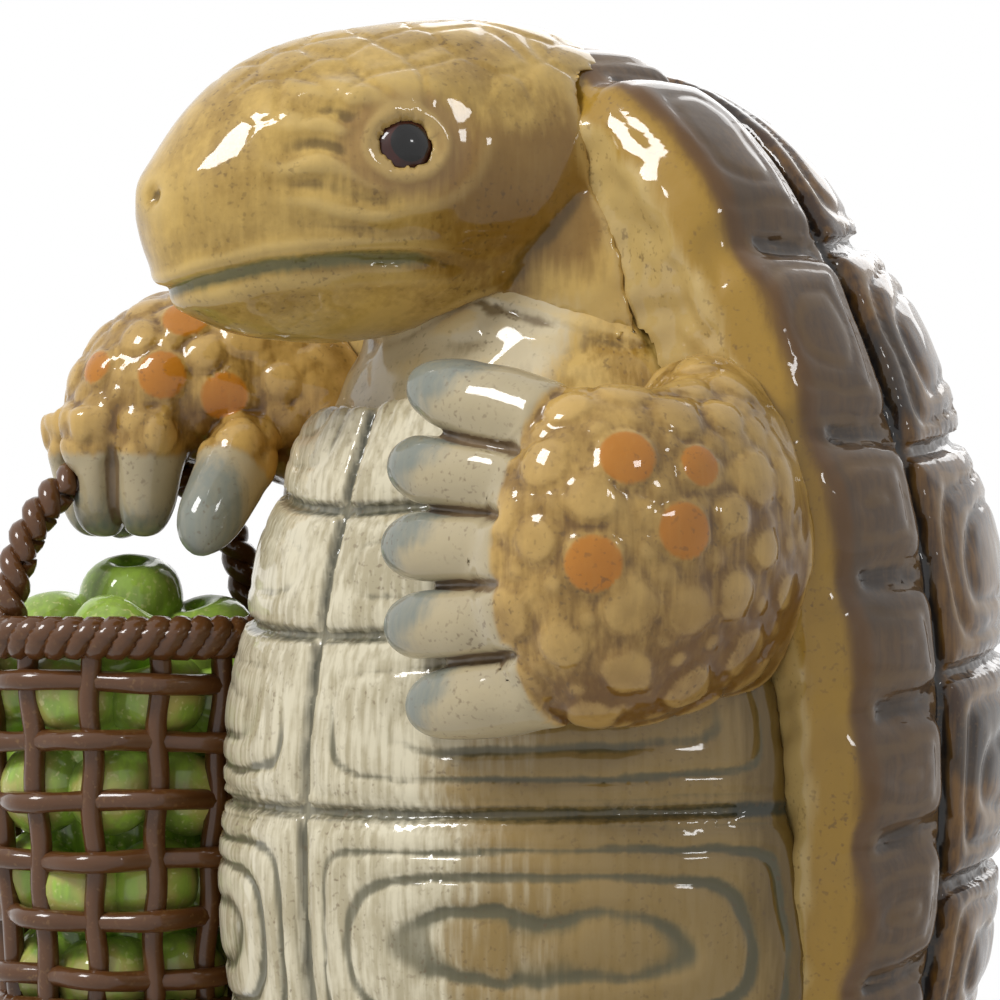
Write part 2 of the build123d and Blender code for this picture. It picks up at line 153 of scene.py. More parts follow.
def node(tree, kind, inputs=(), **settings):
    """Adds one shader node; inputs maps sockets to values or to other nodes' outputs."""
    made = tree.nodes.new(f"ShaderNode{kind}")
    for name, value in settings.items():
        setattr(made, name, value)
    for socket, value in dict(inputs).items():
        if isinstance(value, bpy.types.NodeSocket):
            tree.links.new(value, made.inputs[socket])
        else:
            made.inputs[socket].default_value = value
    return made


# sizes in mm: sponged clouds of colour, one hair's stroke of the brush, specks of iron in the
# glaze, its slow ripples and its pinholes, drawn a little coarser than real ones so they show
CLOUD_SIZE = 4.5
STROKE_WIDTH, STROKE_LENGTH = 0.45, 5.0
SPECK_SIZE = 0.34
RIPPLE_SIZE, RIPPLE_HEIGHT = 2.2, 0.05
PIT_SIZE, PIT_HEIGHT = 0.45, 0.012
# noise keeps near its middle value, so each pattern runs from nothing to full between two levels
TONE_LEVELS = (0.36, 0.64)
SPECK_LEVELS = (0.60, 0.72)
SPECKLED_LEVELS = (0.42, 0.62)
RAGGEDNESS = 0.7


def glazed(name, light, dark, washes=(), speck="#5A4326", speck_share=0.55, stroke=0.5):
    """White earthenware, sponged and brushed with underglaze colours, then dipped in clear
    glaze: the eye sees soft mottled paint under a thin wet-looking coat with broad highlights.
    washes: (mark, colour, low, high, share) laid one over another with ragged brush edges."""
    material = bpy.data.materials.new(name)
    material.use_nodes = True
    tree = material.node_tree
    tree.nodes.clear()
    place = node(tree, "TexCoord").outputs["Object"]
    cloud = node(tree, "TexNoise", {"Vector": place, "Scale": 1 / (CLOUD_SIZE * MM),
                                    "Detail": 5.0, "Roughness": 0.62}).outputs["Fac"]
    along = node(tree, "Mapping", {"Vector": place, "Scale": (1, 1, STROKE_WIDTH / STROKE_LENGTH)})
    brush = node(tree, "TexNoise", {"Vector": along.outputs["Vector"],
                                    "Scale": 1 / (STROKE_WIDTH * MM), "Detail": 2.0}).outputs["Fac"]
    specks = node(tree, "TexNoise", {"Vector": place, "Scale": 1 / (SPECK_SIZE * MM),
                                     "Detail": 1.0}).outputs["Fac"]
    tone = node(tree, "Math", {0: brush, 1: stroke, 2: cloud}, operation="MULTIPLY_ADD")
    tone = node(tree, "MapRange", {0: tone.outputs[0], 1: TONE_LEVELS[0] + stroke / 2,
                                   2: TONE_LEVELS[1] + stroke / 2})
    colour = node(tree, "Mix", {0: tone.outputs[0], 6: linear(light), 7: linear(dark)},
                  data_type="RGBA").outputs[2]
    for layer, code, low, high, share in washes:
        value = node(tree, "Attribute", attribute_name=layer).outputs["Fac"]
        ragged = node(tree, "Math", {0: brush, 1: 0.5}, operation="SUBTRACT").outputs[0]
        ragged = node(tree, "Math", {0: ragged, 1: RAGGEDNESS * (high - low), 2: value},
                      operation="MULTIPLY_ADD").outputs[0]
        cover = node(tree, "MapRange", {0: ragged, 1: low, 2: high, 3: 0.0, 4: share},
                     interpolation_type="SMOOTHSTEP").outputs[0]
        colour = node(tree, "Mix", {0: cover, 6: colour, 7: linear(code)},
                      data_type="RGBA").outputs[2]
    dots = node(tree, "MapRange", {0: specks, 1: SPECK_LEVELS[0], 2: SPECK_LEVELS[1],
                                   3: 0.0, 4: speck_share}).outputs[0]
    speckled = node(tree, "MapRange", {0: cloud, 1: SPECKLED_LEVELS[0],
                                       2: SPECKLED_LEVELS[1]}).outputs[0]
    dots = node(tree, "Math", {0: dots, 1: speckled}, operation="MULTIPLY").outputs[0]
    colour = node(tree, "Mix", {0: dots, 6: colour, 7: linear(speck)},
                  data_type="RGBA").outputs[2]
    waves = node(tree, "TexNoise", {"Vector": place, "Scale": 1 / (RIPPLE_SIZE * MM),
                                    "Detail": 1.0}).outputs["Fac"]
    pits = node(tree, "TexNoise", {"Vector": place, "Scale": 1 / (PIT_SIZE * MM),
                                   "Detail": 1.0}).outputs["Fac"]
    broad = node(tree, "Bump", {"Height": waves, "Distance": RIPPLE_HEIGHT * MM})
    fine = node(tree, "Bump", {"Height": pits, "Distance": PIT_HEIGHT * MM,
                               "Normal": broad.outputs["Normal"]})
    surface = node(tree, "BsdfPrincipled", {
        "Base Color": colour, "Roughness": 0.45, "IOR": 1.5, "Specular IOR Level": 0.1,
        "Coat Weight": 0.75, "Coat Roughness": 0.05, "Coat IOR": 1.5,
        "Normal": fine.outputs["Normal"], "Coat Normal": broad.outputs["Normal"]})
    node(tree, "OutputMaterial", {"Surface": surface.outputs["BSDF"]})
    return material


def fire(piece, material, slot, *nodes):
    """Glazes a piece and lets it stand for its nodes."""
    piece.data.materials.append(material)
    piece.data.shade_smooth()
    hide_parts(*nodes)
    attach(piece, "root")


plinth = casting("plinth", grain=0.5)
points, outward = skin(plinth)
top = ramp(outward[:, 2], 0.2, 0.8)
model(plinth, top * (DENT_HEIGHT * ripple(points, DENT_SIZE)
                     + PRESS_HEIGHT * ripple(points, PRESS_SIZE, 9.0)))
mark_hollows(plinth)
mark(plinth, "foot", ramp(-skin(plinth)[0][:, 2], -FOOT_TO, -FOOT_FROM))
plinth_glaze = glazed("plinth_olive_underglaze", "#A88A3C", "#7C5E22", (
    ("crest", "#8A5A26", 0.1, 0.8, 0.7), ("foot", "#5E3C14", 0.2, 1.0, 0.8),
    ("hollow", "#4E4118", 0.1, 0.8, 0.7)))
fire(plinth, plinth_glaze, "plinth_glaze", "plinth")

# Body
# The hollow front casting: chest, shoulders and flanks in smooth skin with soft folds.
# The chest is brushed cream, the shoulders are sponged ochre with brown in their folds.
EGG_RADIUS, EGG_HEIGHT, EGG_DROP = 20.5, 80.0, 38.0
EGG_TOP_ROUND, EGG_BOTTOM_ROUND = 11.0, 11.5
EGG_Y, EGG_BOTTOM = -2.5, 2.0
BODY_FILLET = 2.6
SEAT_SWELL = 0.25
FOLD_SIZE, FOLD_HEIGHT = 1.6, 0.20
FOLDS_FROM, FOLDS_FULL = 58, 66
CHEST_X = -1.5


def egg_radius(height, radius, rise, drop, top_round, bottom_round):
    """Half the width of an egg at a height over its middle, after the mould's tangent arcs."""
    height = np.asarray(height, dtype=float)
    width = np.zeros_like(height)
    for up, reach, cap in ((1, rise, top_round), (-1, drop, bottom_round)):
        middle = reach - cap
        flank = (radius**2 + middle**2 - cap**2) / (2 * (radius - cap))
        turn = math.atan2(middle, flank - radius)
        level = np.abs(height)
        side = radius - flank + np.sqrt(np.clip(flank**2 - level**2, 0, None))
        end = np.sqrt(np.clip(cap**2 - (level - middle)**2, 0, None))
        width = np.where(up * height >= 0, np.where(level < flank * math.sin(turn), side, end), width)
    return width


def neighbours(*names):
    """The surfaces of other nodes, to measure from."""
    trees = []
    for name in names:
        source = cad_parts[name]
        mesh = source.data
        corners = [source.matrix_world @ v.co / MM for v in mesh.vertices]
        trees.append(BVHTree.FromPolygons(corners, [tuple(p.vertices) for p in mesh.polygons]))
    return trees


def gap_to(points, trees, within=6.0):
    """Distance in mm from each point to the nearest of the surfaces, and the way that one faces.
    A point with no surface within that many mm counts as far away."""
    best = np.full(len(points), 1e3)
    facing = np.zeros((len(points), 3))
    for tree in trees:
        for index, point in enumerate(points.tolist()):
            found = tree.find_nearest(point, within)
            if found[0] is not None and found[3] < best[index]:
                best[index] = found[3]
                facing[index] = found[1]
    return best, facing


def lute(piece, radius, *nodes, share=1):
    """Draws a fillet of slip from the piece onto its neighbours and marks it as a joint. Where
    the two lie face to face, the piece swells into its seat, so that no slit shows."""
    points, outward = skin(piece)
    gap, facing = gap_to(points, neighbours(*nodes))
    across = evened(piece, 1 - np.abs((outward * facing).sum(axis=1)), 8)
    near = np.clip(1 - gap / radius, 0, 1)
    swell = evened(piece, radius * (1 - np.sqrt(1 - near**2)) * ramp(across, 0.35, 0.9), 6)
    swell += ramp(near, 0.0, 0.5) * sunk(piece, 16)
    seat = SEAT_SWELL * (1 - ramp(gap, 0.05, 0.3)) * (1 - ramp(across, 0.1, 0.4))
    mark(piece, "joint", ramp(near, 0.0, 1.0))
    model(piece, share * (swell + seat))


def without_inside(piece, centre):
    """Takes away the wall of the hollow, which nothing shows: the faces that look at its centre."""
    net = bmesh.new()
    net.from_mesh(piece.data)
    inside = [f for f in net.faces
              if sum(n * (c / MM - m) for n, c, m in zip(f.normal, f.calc_center_median(), centre)) < -0.5]
    bmesh.ops.delete(net, geom=inside, context="FACES")
    rims = [e for e in net.edges if e.is_boundary]
    bmesh.ops.holes_fill(net, edges=rims, sides=0)
    net.to_mesh(piece.data)
    net.free()


def folds(points, size=FOLD_SIZE, shift=0.0):
    """Level folds of loose skin, longer round the figure than they are high."""
    return ripple(points * (0.6, 0.6, 1.0), size, shift)


def mark_chest(piece, share=1):
    """Marks the pale front of chest and neck."""
    points = skin(piece)[0]
    across = np.abs(points[:, 0] - CHEST_X) + 1.5 * ripple(points, 4.0)
    mark(piece, "chest", share * (1 - ramp(across, 7, 13)) * ramp(points[:, 2], 50, 56)
         * ramp(-points[:, 1], 6, 12))


body = casting("body", grain=0.3)
without_inside(body, (0, EGG_Y, EGG_BOTTOM + EGG_DROP))
lute(body, BODY_FILLET, "head")
points = skin(body)[0]
loose = folds(points, shift=2.0) * ramp(points[:, 2], FOLDS_FROM, FOLDS_FULL)
model(body, FOLD_HEIGHT * loose + 0.12 * ripple(points, 5.0))
mark_hollows(body)
mark_chest(body)
skin_glaze = glazed("body_ochre_underglaze", "#C9A75C", "#A07C2E", (
    ("chest", "#D6C8A6", 0.1, 0.7, 0.95), ("hollow", "#5E4514", 0.1, 0.8, 0.75),
    ("crest", "#D8BC7C", 0.1, 0.9, 0.5)), stroke=0.8)
fire(body, skin_glaze, "skin_glaze", "body")

# Belly plate
# The raised plate of six pairs of scutes, carved with growth rings that follow their seams.
# Cream slip at the middle, brushed dark grey-green into the seams and rings, and sponged
# olive-brown at the sides, with dark olive painted shade where the plate runs in under the shell.
PLATE_PROUD = 1.2
PLATE_SHARE = 1.058
MIDDLE_SEAM_SHARES = (0.09, 0.80)
SEAM_SHARES = ((0.77, 0.725), (0.66, 0.635), (0.515, 0.510), (0.335, 0.320), (0.215, 0.195))
RING_PITCH, RING_DEPTH = 2.0, 0.30
RINGS_FROM, RINGS_TO = 0.5, 16.0
RING_SPREAD = 1.5
PILLOW_RISE, PILLOW_REACH = 0.45, 2.2
SEAM_DEPTH, SEAM_WIDTH = 0.20, 0.35
SOFTNESS = 2.4


def along_seams(lines, step=0.25):
    """Even points along polylines, in a search tree."""
    rows = []
    for line in lines:
        for start, end in zip(line[:-1], line[1:]):
            start, end = np.array(start), np.array(end)
            count = max(int(np.linalg.norm(end - start) / step), 1)
            rows += [start + (end - start) * i / count for i in range(count + 1)]
    tree = kdtree.KDTree(len(rows))
    for index, row in enumerate(rows):
        tree.insert(row, index)
    tree.balance()
    return tree


def gap_to_seams(points, tree):
    """Distance in mm from each point to the nearest seam."""
    return np.array([tree.find(p)[2] for p in points.tolist()])


def soft_gap(gaps):
    """One distance from several, rounded off where two seams meet, as old growth lines are."""
    return np.sum([np.maximum(g, 0.02)**-SOFTNESS for g in gaps], axis=0)**(-1 / SOFTNESS)


def mound(distance, width):
    """1 at no distance, falling away smoothly over a width in mm."""
    return np.exp(-(distance / width)**2)


def on_belly(across, height):
    """The plate's surface at a place seen from the front, height over the egg's foot."""
    level = height - EGG_DROP
    radius = float(egg_radius(level, EGG_RADIUS, EGG_HEIGHT - EGG_DROP, EGG_DROP,
                              EGG_TOP_ROUND, EGG_BOTTOM_ROUND)) + PLATE_PROUD
    return (across, EGG_Y - math.sqrt(max(radius**2 - across**2, 0)), EGG_BOTTOM + height)


def rings(edge, pitch, start, end):
    """Growth rings side by side inward from a scute's edge: broad crests 0, thin lines -1."""
    fade = ramp(edge, start, start + pitch / 2) * (1 - ramp(edge, end - pitch, end))
    return -(0.5 - 0.5 * np.cos(2 * math.pi * edge / pitch))**3 * fade


seams = [[on_belly(0, EGG_HEIGHT * h) for h in np.linspace(*MIDDLE_SEAM_SHARES, 60)]]
for outer, middle in SEAM_SHARES:
    row = []
    for share in np.linspace(-PLATE_SHARE, PLATE_SHARE, 41):
        height = middle + (outer - middle) * share**2
        row.append(on_belly(share * EGG_RADIUS, EGG_HEIGHT * height))
    seams.append(row)
belly = casting("belly_plate", grain=0.28, passes=4)
points = skin(belly)[0]
body_gap = gap_to(points, neighbours("body"))[0]
edge = gap_to_seams(points, along_seams(seams))
shell_gap = gap_to(points, neighbours("shell"), within=16.0)[0]
inward = soft_gap([gap_to_seams(points, along_seams([line])) for line in seams] + [shell_gap + 1.0])
inward = RING_SPREAD * inward + 0.5 * ripple(points, 5.0) + 0.15 * ripple(points, 1.6)
strength = 0.6 + 0.4 * ramp(ripple(points, 7.0, 4.0), -0.5, 0.3)
strength *= 1 - 0.6 * ramp(points[:, 2], 43, 50)
growth = rings(inward, RING_PITCH, RINGS_FROM, RINGS_TO) * strength
model(belly, ramp(body_gap, 0.3, 1.1) * (
    PILLOW_RISE * (1 - np.exp(-edge / PILLOW_REACH)) - SEAM_DEPTH * mound(edge, SEAM_WIDTH)
    + RING_DEPTH * growth + 0.10 * ripple(points, 3.0)))
mark_hollows(belly, 8, 0.06)
points = skin(belly)[0]
turn = np.degrees(np.arctan2(np.abs(points[:, 0] + 2), -(points[:, 1] - EGG_Y)))
mark(belly, "seam", mound(edge, 0.55))
mark(belly, "side", ramp(turn + 9 * ripple(points, 6.0), 24, 50))
mark(belly, "ring", -growth)
# dark olive painted shade where the plate lies close under the shell's lip
mark(belly, "painted_shade_under_shell", 1 - ramp(shell_gap + 1.5 * ripple(points, 5.0), 0.5, 5.0))
belly_glaze = glazed("belly_cream_slip", "#D3CAAF", "#AEA385", (
    ("side", "#84682A", 0.1, 0.8, 0.9), ("painted_shade_under_shell", "#55400F", 0.1, 1.1, 0.8),
    ("ring", "#565238", 0.25, 0.9, 0.7), ("hollow", "#4C4A34", 0.15, 0.9, 0.7),
    ("seam", "#2E3228", 0.25, 0.75, 0.9)), stroke=0.9)
fire(belly, belly_glaze, "belly_glaze", "belly_plate")

# Shell
# The hollow back casting: a high dome of scutes inside a ring of scalloped edge scutes.
# Brown and tan strokes follow the growth rings, with a yellow-ochre band round the lip.
DOME_RADIUS, DOME_RISE, DOME_DROP = 25.4, 36.9, 40.3
DOME_TOP_ROUND, DOME_BOTTOM_ROUND = 20.4, 19.9
RIM_Y, RIM_Z, RIM_TILT = -3.5, 49.9, math.radians(6)
SCUTE_RADIUS, SCUTE_RISE = 24.5, 36.0
SPINE_SHARES = ((0.23, 0.83), (0.36, 0.68), (0.23, 0.53), (0.38, 0.35), (0.24, 0.17),
                (0.38, 0.0), (0.24, -0.17), (0.36, -0.34), (0.22, -0.50), (0.33, -0.65),
                (0.20, -0.80))
EDGE_SCUTE_DEPTH = 6.5
EDGE_SCUTE_ANGLES = (12, 36, 58, 76, 93, 110, 127, 147, 170)
SCUTE_SWELL = 0.75
GROWTH_PITCH, GROWTH_DEPTH = 1.45, 0.24
EDGE_GROWTH_PITCH, EDGE_GROWTH_DEPTH = 1.2, 0.12
GROOVE_DEPTH, GROOVE_WIDTH = 0.25, 0.45
NOTCH_DEPTH, NOTCH_WIDTH = 0.12, 0.8
LIP_DEPTH = 3.2
LIP_ROLL, LIP_ROLL_IN, LIP_ROLL_WIDTH = 0.45, 2.4, 1.2
SHELL_FILLET = 1.8
rim_origin = np.array((0, RIM_Y, RIM_Z))
rim_back = np.array((0, math.cos(RIM_TILT), math.sin(RIM_TILT)))
rim_up = np.array((0, -math.sin(RIM_TILT), math.cos(RIM_TILT)))


def dome_radius(up):
    """Half the dome's width at a height over its middle."""
    return float(egg_radius(up, DOME_RADIUS, DOME_RISE, DOME_DROP, DOME_TOP_ROUND,
                            DOME_BOTTOM_ROUND))


def on_dome(across, up):
    """The dome's surface behind a place in the rim plane."""
    back = math.sqrt(max(dome_radius(up)**2 - across**2, EDGE_SCUTE_DEPTH**2))
    return rim_origin + (across, 0, 0) + rim_up * up + rim_back * back


seams = []
for side in (1, -1):
    corners = [(side * a * SCUTE_RADIUS, u * SCUTE_RISE) for a, u in SPINE_SHARES]
    zigzag = []
    for start, end in zip(corners[:-1], corners[1:]):
        zigzag += [on_dome(*(np.array(start) + (np.array(end) - start) * t))
                   for t in np.linspace(0, 1, 8)]
    seams.append(zigzag)
    for across, up in corners[0::2]:
        seams.append([on_dome(across * t, up) for t in np.linspace(0, 1, 8)])
    for across, up in corners[1::2]:
        reach = side * math.sqrt(max(dome_radius(up)**2 - EDGE_SCUTE_DEPTH**2, across**2))
        seams.append([on_dome(across + (reach - across) * t, up) for t in np.linspace(0, 1, 24)])
rim_line = []
for side in (1, -1):
    for up in side * np.cos(np.linspace(0, math.pi, 300)) * DOME_DROP:
        if -DOME_DROP < up < DOME_RISE:
            rim_line.append(rim_origin + (side * dome_radius(up), 0, 0) + rim_up * up
                            - rim_back * LIP_DEPTH)
shell = casting("shell", grain=0.34)
without_inside(shell, rim_origin + rim_back * 4)
depth = (skin(shell)[0] - rim_origin) @ rim_back
lute(shell, SHELL_FILLET, "head", share=1 - ramp(depth, -2.9, -2.2))
points, outward = skin(shell)
local = points - rim_origin
across, depth, up = local[:, 0], local @ rim_back, local @ rim_up
spread = np.hypot(across, up)
angle = np.degrees(np.arctan2(np.abs(across), up))
# distances: from the seams between edge scutes, from those between the dome's scutes, from the rim
near_edge = np.min([np.abs(np.radians(angle - a)) * spread for a in EDGE_SCUTE_ANGLES], axis=0)
gaps = [gap_to_seams(points, along_seams([line])) for line in seams]
gaps.append(np.abs(depth - EDGE_SCUTE_DEPTH))
outer = np.clip(np.minimum(near_edge, EDGE_SCUTE_DEPTH - depth), 0, None)
from_rim = gap_to_seams(points, along_seams([rim_line], 0.6))
on_main = depth > EDGE_SCUTE_DEPTH
on_edge = 1 - ramp(depth, EDGE_SCUTE_DEPTH - 0.4, EDGE_SCUTE_DEPTH + 0.4)
edge = np.where(on_main, np.min(gaps, axis=0), outer)
inward = np.where(on_main, soft_gap(gaps), soft_gap([near_edge, outer, depth + 3]))
inward = 1.2 * inward + 0.5 * ripple(points, 4.5) + 0.12 * ripple(points, 1.4)
lip = 1 - ramp(depth, -2.6, -0.8)
in_front = 1 - ramp(depth, -LIP_DEPTH + 0.6, -LIP_DEPTH + 1.8)
collar = ramp(from_rim + 0.5 * ripple(points, 2.5), 0.9, 2.6) * in_front
facing_out = ramp((outward * (local / np.linalg.norm(local, axis=1)[:, None])).sum(axis=1), 0.3, 0.6)
# the solid's own deep grooves are filled first, then each kind of scute is carved afresh
healed = sunk(shell, 40) * np.exp(-(near_edge / 1.5)**4) * on_edge
main_scutes = (1 - on_edge) * (SCUTE_SWELL * (1 - np.exp(-edge / 3.2))
                               + GROWTH_DEPTH * rings(inward, GROWTH_PITCH, 0.8, 9.0))
edge_scutes = on_edge * (1 - lip) * (SCUTE_SWELL * (1 - mound(edge, 2.0))
                                     + EDGE_GROWTH_DEPTH * rings(inward, EDGE_GROWTH_PITCH, 0.7, 4.0))
grooves = GROOVE_DEPTH * mound(edge, GROOVE_WIDTH) * (1 - lip) * (1 - 0.5 * on_edge)
notches = NOTCH_DEPTH * lip * mound(near_edge, NOTCH_WIDTH)
roll = LIP_ROLL * in_front * mound(from_rim - LIP_ROLL_IN, LIP_ROLL_WIDTH)
loose_skin = collar * (-0.1 + 0.25 * ripple(points, 1.5) + 0.30 * ripple(points, 4.0))
model(shell, facing_out * (healed + main_scutes + edge_scutes - grooves + 0.12 * ripple(points, 4.0))
      - notches + roll + loose_skin)
mark_hollows(shell, 12, 0.12)
points = skin(shell)[0]
wander = 0.3 * ripple(points, 1.5)
mark(shell, "seam", mound(edge, 0.8) * (1 - lip) * (1 - 0.6 * on_edge))
mark(shell, "marginal", on_edge * (1 - lip))
mark(shell, "lip", ramp(-depth + 0.4 * ripple(points, 2.5), 0.6, 2.0))
mark(shell, "rim", mound(depth + 0.9, 0.9))
mark(shell, "collar", collar)
mark(shell, "growth", 0.5 + 0.5 * np.sin(2 * math.pi * (inward + wander) / GROWTH_PITCH))
mark(shell, "patch", ramp(ripple(points, 9.0, 3.3), 0.12, 0.45))
shell_glaze = glazed("shell_brown_underglaze", "#755222", "#3C240C", (
    ("growth", "#96733A", 0.5, 1.0, 0.5), ("patch", "#1D1A18", 0.35, 0.95, 0.7),
    ("marginal", "#54402A", 0.3, 0.9, 0.7), ("hollow", "#211408", 0.1, 0.9, 0.8),
    ("seam", "#10151A", 0.35, 0.85, 0.85), ("lip", "#A07C28", 0.2, 0.8, 0.95),
    ("collar", "#BFA468", 0.2, 0.9, 0.95), ("rim", "#5E3D0E", 0.2, 0.9, 0.8)), stroke=0.7)
fire(shell, shell_glaze, "shell_glaze", "shell")

# Head and neck
# A plain tortoise's head cast in one with the neck: horny beak, heavy brows, round eyes.
# Olive-ochre, sponged brown round the eyes, grey-green along the mouth, and on the cheek a
# brown that is partly sponged paint and partly painted shade.
HEAD_LENGTH, HEAD_HALF_WIDTH, HEAD_RISE, HEAD_DROP = 31.5, 9.8, 9.4, 8.8
HEAD_YAW, HEAD_PITCH = math.radians(20), math.radians(8)
HEAD_ROOT_SHARE = (0.137, -0.11, 0.99)
HEAD_FILLET = 2.2
EYE_SHARE = (0.575, 0.22, 0.90)
LID_RADIUS, LID_HEIGHT, LID_WIDTH = 2.0, 0.14, 0.32
BROW_HEIGHT, BROW_OVER_EYE, BROW_AHEAD = 0.75, 3.0, 0.5
MOUTH_SHARES = ((1.02, -0.58), (0.95, -0.47), (0.84, -0.42), (0.70, -0.44), (0.58, -0.50),
                (0.48, -0.60))
LIP_LINE_DEPTH, LIP_LINE_WIDTH = 0.24, 0.42
NOSTRIL_ASIDE, NOSTRIL_RISE, NOSTRIL_DEPTH = 1.7, 1.1, 0.55
WRINKLE_HEIGHT = 0.45
CROWN_PLATE_SIZE, CROWN_PLATE_DEPTH = 3.1, 0.14
head_root = np.array((HEAD_ROOT_SHARE[0] * EGG_RADIUS, EGG_Y - HEAD_ROOT_SHARE[1] * EGG_RADIUS,
                      EGG_BOTTOM + HEAD_ROOT_SHARE[2] * EGG_HEIGHT))
head_left = np.array((math.cos(HEAD_YAW), -math.sin(HEAD_YAW), 0))
head_ahead = np.array((-math.sin(HEAD_YAW) * math.cos(HEAD_PITCH),
                       -math.cos(HEAD_YAW) * math.cos(HEAD_PITCH), -math.sin(HEAD_PITCH)))
head_up = np.cross(head_ahead, head_left)
head = casting("head", grain=0.26)
lute(head, HEAD_FILLET, "body", "belly_plate")
points = skin(head)[0]
local = points - head_root
aside, rise, ahead = np.abs(local @ head_left), local @ head_up, local @ head_ahead
on_side = ramp(aside, 3.0, 5.5)
# round the eyes: the lids' roll, fine creases in front, a pouch below and a brow above
eye_ahead, eye_rise, eye_aside = (EYE_SHARE[0] * HEAD_LENGTH, EYE_SHARE[1] * HEAD_RISE,
                                  EYE_SHARE[2] * HEAD_HALF_WIDTH)
from_eye = np.hypot((ahead - eye_ahead) * np.where(ahead > eye_ahead, 0.78, 0.9),
                    (rise - eye_rise) * 1.12) + 10 * (1 - on_side)
lids = LID_HEIGHT * mound(from_eye - LID_RADIUS, LID_WIDTH) - 0.05 * mound(from_eye - 3.2, 0.6)
creased = (on_side * ramp(from_eye, 2.5, 3.2) * (1 - ramp(from_eye, 4.5, 7.0))
           * ramp(ahead - eye_ahead, 0.5, 2.5))
lids += 0.18 * creased * np.sin(2.6 * (rise - 0.35 * ahead) + 2 * ripple(points, 3.0))
pouch = 0.12 * mound(from_eye - 4.1, 0.8) * ramp(eye_rise - rise, -1.0, 1.0)
brow = (BROW_HEIGHT * on_side * mound(rise - eye_rise - BROW_OVER_EYE, 1.4)
        * mound(ahead - eye_ahead - BROW_AHEAD, 4.5))
# the beak: a roll over and under the line of the mouth, two nostrils and a blunt tip
mouth_line = np.interp(ahead, [x * HEAD_LENGTH for x, _ in MOUTH_SHARES[::-1]],
                       [y * HEAD_DROP for _, y in MOUTH_SHARES[::-1]])
over_mouth = rise - mouth_line
in_mouth = ramp(ahead, 0.45 * HEAD_LENGTH, 0.62 * HEAD_LENGTH)
beak = in_mouth * (0.26 * mound(over_mouth - 0.9, 0.6) - LIP_LINE_DEPTH * mound(over_mouth, LIP_LINE_WIDTH)
                   + 0.22 * mound(over_mouth + 1.1, 0.7))
nostril = (-NOSTRIL_DEPTH * mound(aside - NOSTRIL_ASIDE, 0.5) * mound(rise - NOSTRIL_RISE, 0.45)
           * ramp(ahead, 0.9 * HEAD_LENGTH, 0.95 * HEAD_LENGTH))
snout = (0.35 * mound(rise - 1.6, 1.5) * mound(aside, 3.0)
         * ramp(ahead, 0.86 * HEAD_LENGTH, 0.95 * HEAD_LENGTH))
healed = sunk(head, 16) * np.exp(-(over_mouth / 1.4)**4) * ramp(ahead, 12, 14)
# the skin: level folds on the neck and behind the cheek, flat horny plates on the crown
on_neck = 1 - ramp(rise + 0.35 * (ahead - 6), -7.5, -5.0)
free = ramp(gap_to(points, neighbours("body", "belly_plate", "shell"))[0], 0.3, 1.6)
wrinkles = WRINKLE_HEIGHT * free * on_neck * folds(points, shift=5.0)
back_folds = 0.25 * (1 - ramp(ahead, 5, 9)) * folds(points, 1.5)
cells = []
for point in points.tolist():
    first, second = noise.voronoi([c / CROWN_PLATE_SIZE for c in point])[0][:2]
    cells.append(second - first)
plates = (-CROWN_PLATE_DEPTH * mound(np.array(cells), 0.10) * ramp(rise, 2.5, 5.5)
          * (1 - ramp(ahead, 24, 28)))
model(head, healed + lids + pouch + brow + beak + nostril + snout + wrinkles + back_folds + plates
      + 0.10 * ripple(points, 4.0))
mark_hollows(head, 14, 0.12)
points = skin(head)[0]
from_cheek = np.hypot((ahead - 11) / 9, (rise + 1.5) / 6.5)
mark(head, "eyelid", mound(from_eye - 2.2, 1.5))
mark(head, "mouth", in_mouth * mound(over_mouth, 0.6) * ramp(ahead, 14.5, 18.5))
# the cheek's dark brown: partly sponged paint, partly painted shade on the lower back of the head
mark(head, "cheek", ramp(1 - from_cheek + 0.35 * ripple(points, 3.5), -0.1, 0.7) * on_side)
mark(head, "neck", on_neck)
mark_chest(head, on_neck)
mark(head, "throat", ramp(-over_mouth, 1.0, 5.0) * (1 - on_neck))
head_glaze = glazed("head_olive_underglaze", "#C3A155", "#967632", (
    ("neck", "#C0A058", 0.2, 0.9, 0.8), ("chest", "#CFC09A", 0.1, 0.8, 0.8),
    ("cheek", "#7A5614", 0.1, 0.9, 0.8), ("throat", "#A98E47", 0.2, 1.0, 0.6),
    ("eyelid", "#83603A", 0.2, 1.0, 0.6), ("crest", "#D2B470", 0.2, 1.0, 0.5),
    ("hollow", "#4E3A10", 0.15, 0.9, 0.7), ("mouth", "#6E7248", 0.3, 0.9, 0.6)),
    stroke=0.3, speck="#4A3418")
fire(head, head_glaze, "head_glaze", "head")

# Eyes
# Two beads set in the casting, painted dark brown round a black pupil.
# With no specks under the glaze and a colour so dark, they shine like drops.
EYE_RADIUS, EYE_BULGE = 1.8, 0.12
EYE_LIFT = math.radians(12)
PUPIL_RADII = (0.95, 1.25)
eye_glaze = glazed("eye_brown_underglaze", "#3C1208", "#200A04", (
    ("pupil", "#050404", 0.3, 0.7, 1.0),), stroke=0.2, speck_share=0.0)
for side, name in ((1, "left_eye"), (-1, "right_eye")):
    eye = casting(name, grain=0.12, passes=8)
    centre = (head_root + head_left * side * eye_aside + head_up * eye_rise
              + head_ahead * eye_ahead)
    away = skin(eye)[0] - centre
    out = head_left * side * math.cos(EYE_LIFT) + head_up * math.sin(EYE_LIFT)
    radius = np.linalg.norm(away - np.outer(away @ out, out), axis=1)
    model(eye, EYE_BULGE * (1 - ramp(radius, 0, EYE_RADIUS)))
    mark(eye, "pupil", 1 - ramp(radius, *PUPIL_RADII))
    fire(eye, eye_glaze, "eye_glaze", name)
